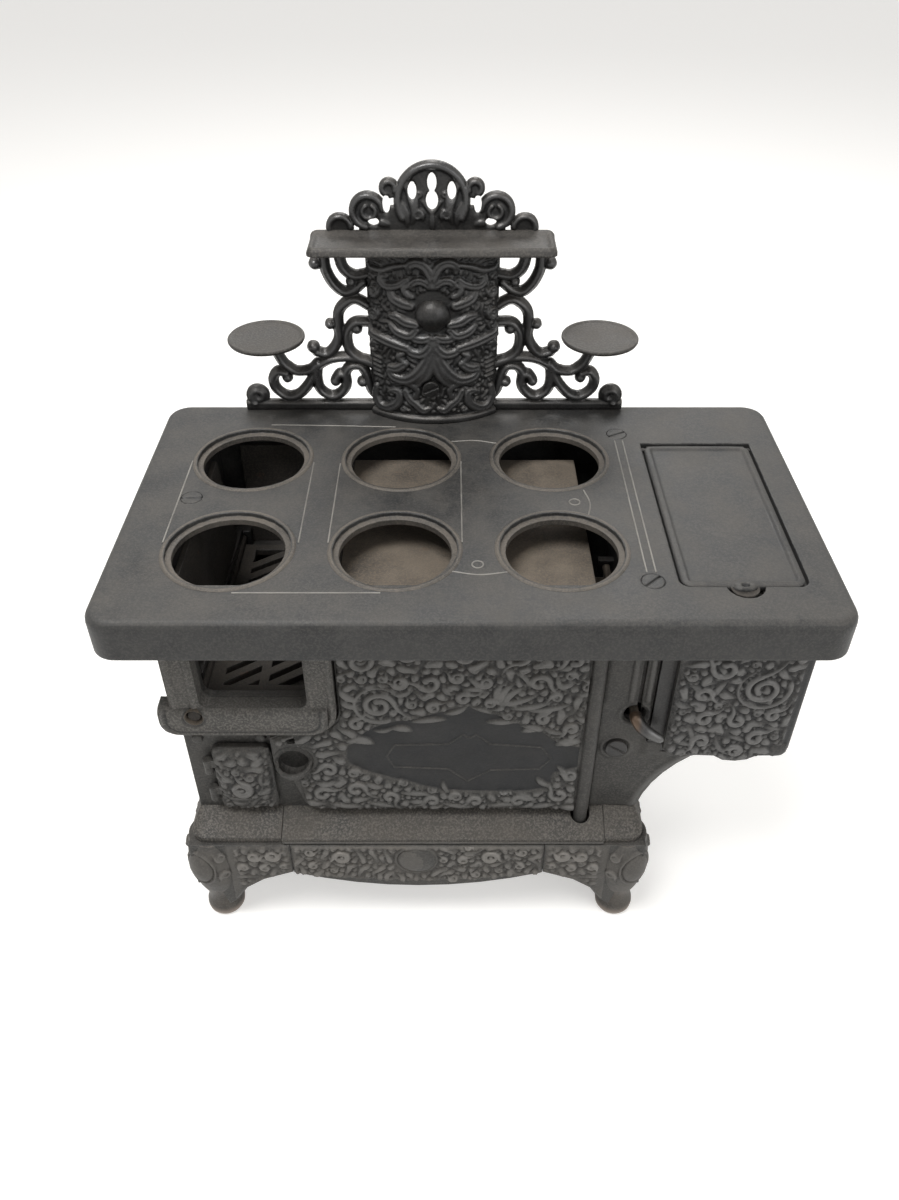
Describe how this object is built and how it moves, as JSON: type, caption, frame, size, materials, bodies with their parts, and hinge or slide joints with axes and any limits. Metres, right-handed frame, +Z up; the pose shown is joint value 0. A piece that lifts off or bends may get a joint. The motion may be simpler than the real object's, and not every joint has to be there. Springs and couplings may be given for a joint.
{
  "type": "toy cast-iron range",
  "caption": "Miniature cast-iron cooking range with open lid holes, oven, firebox with grate, side reservoir, scrolled high back, warming shelf and cabriole legs.",
  "frame": {"origin": "on the floor, under the middle of the cooktop", "axes": "+X to the viewer's right, towards the reservoir; +Y to the wall, away from the doors; +Z up"},
  "size_m": [0.324, 0.186, 0.3559],
  "materials": {
    "iron": "dark grey satin cast iron, worn lighter on high spots",
    "dusty_iron": "dark grey cast iron with brown-grey dust",
    "rusty_iron": "brown, lightly rusted cast iron",
    "dark_iron": "near-black, semi-gloss cast iron",
    "tinned_iron": "dull tinned iron"
  },
  "bodies": {
    "stove": {"back_plate": "iron", "base_plate": "dusty_iron", "column_screw": "iron", "cooktop": "dusty_iron", "cooktop_screw_front": "iron", "cooktop_screw_left": "iron", "cooktop_screw_rear": "iron", "fire_lining_left": "iron", "fire_lining_rear": "iron", "fire_lining_right": "iron", "fire_mouth_frame": "dusty_iron", "fire_partition": "iron", "front_apron": "iron", "front_frame": "iron", "hearth_plate": "dusty_iron", "high_back": "dark_iron", "high_back_screw": "iron", "left_apron": "iron", "left_end": "iron", "leg_bolt_front_left": "iron", "leg_bolt_front_right": "iron", "leg_bolt_rear_left": "iron", "leg_bolt_rear_right": "iron", "leg_front_left": "iron", "leg_front_right": "iron", "leg_rear_left": "iron", "leg_rear_right": "iron", "mouth_rivet_left": "iron", "mouth_rivet_right": "iron", "oven_back": "iron", "oven_bottom": "rusty_iron", "oven_right_side": "iron", "oven_top": "rusty_iron", "rear_apron": "iron", "reservoir_bracket": "iron", "reservoir_casing": "dark_iron", "reservoir_front": "iron", "reservoir_tank": "tinned_iron", "right_apron": "iron", "right_end": "iron", "trivet_left": "dark_iron", "trivet_right": "dark_iron", "warming_shelf": "dark_iron"},
    "oven_door": {"oven_door": "iron"},
    "ash_door": {"ash_door": "iron"},
    "reservoir_lid": {"reservoir_lid": "dark_iron"},
    "damper": {"damper_lever": "iron", "damper_shaft": "rusty_iron"},
    "grate": {"grate": "rusty_iron"}
  },
  "joints": [
    {"name": "oven_door_hinge", "type": "hinge", "parent": "stove", "child": "oven_door", "pos_m": [0.0592, -0.0681, 0.14], "axis": [0, 0, 1], "range_deg": [0, 105]},
    {"name": "ash_door_hinge", "type": "hinge", "parent": "stove", "child": "ash_door", "pos_m": [-0.13, -0.0672, 0.1035], "axis": [0, 0, -1], "range_deg": [0, 110]},
    {"name": "reservoir_lid_hinge", "type": "hinge", "parent": "stove", "child": "reservoir_lid", "pos_m": [0.11745, 0.0475, 0.2246], "axis": [-1, 0, 0], "range_deg": [0, 100]},
    {"name": "damper_turn", "type": "hinge", "parent": "stove", "child": "damper", "pos_m": [0.08, -0.06, 0.146], "axis": [0, 1, 0], "range_deg": [0, 70]},
    {"name": "grate_shake", "type": "hinge", "parent": "stove", "child": "grate", "pos_m": [-0.1293, 0, 0.153], "axis": [0, -1, 0], "range_deg": [0, 18]}
  ]
}
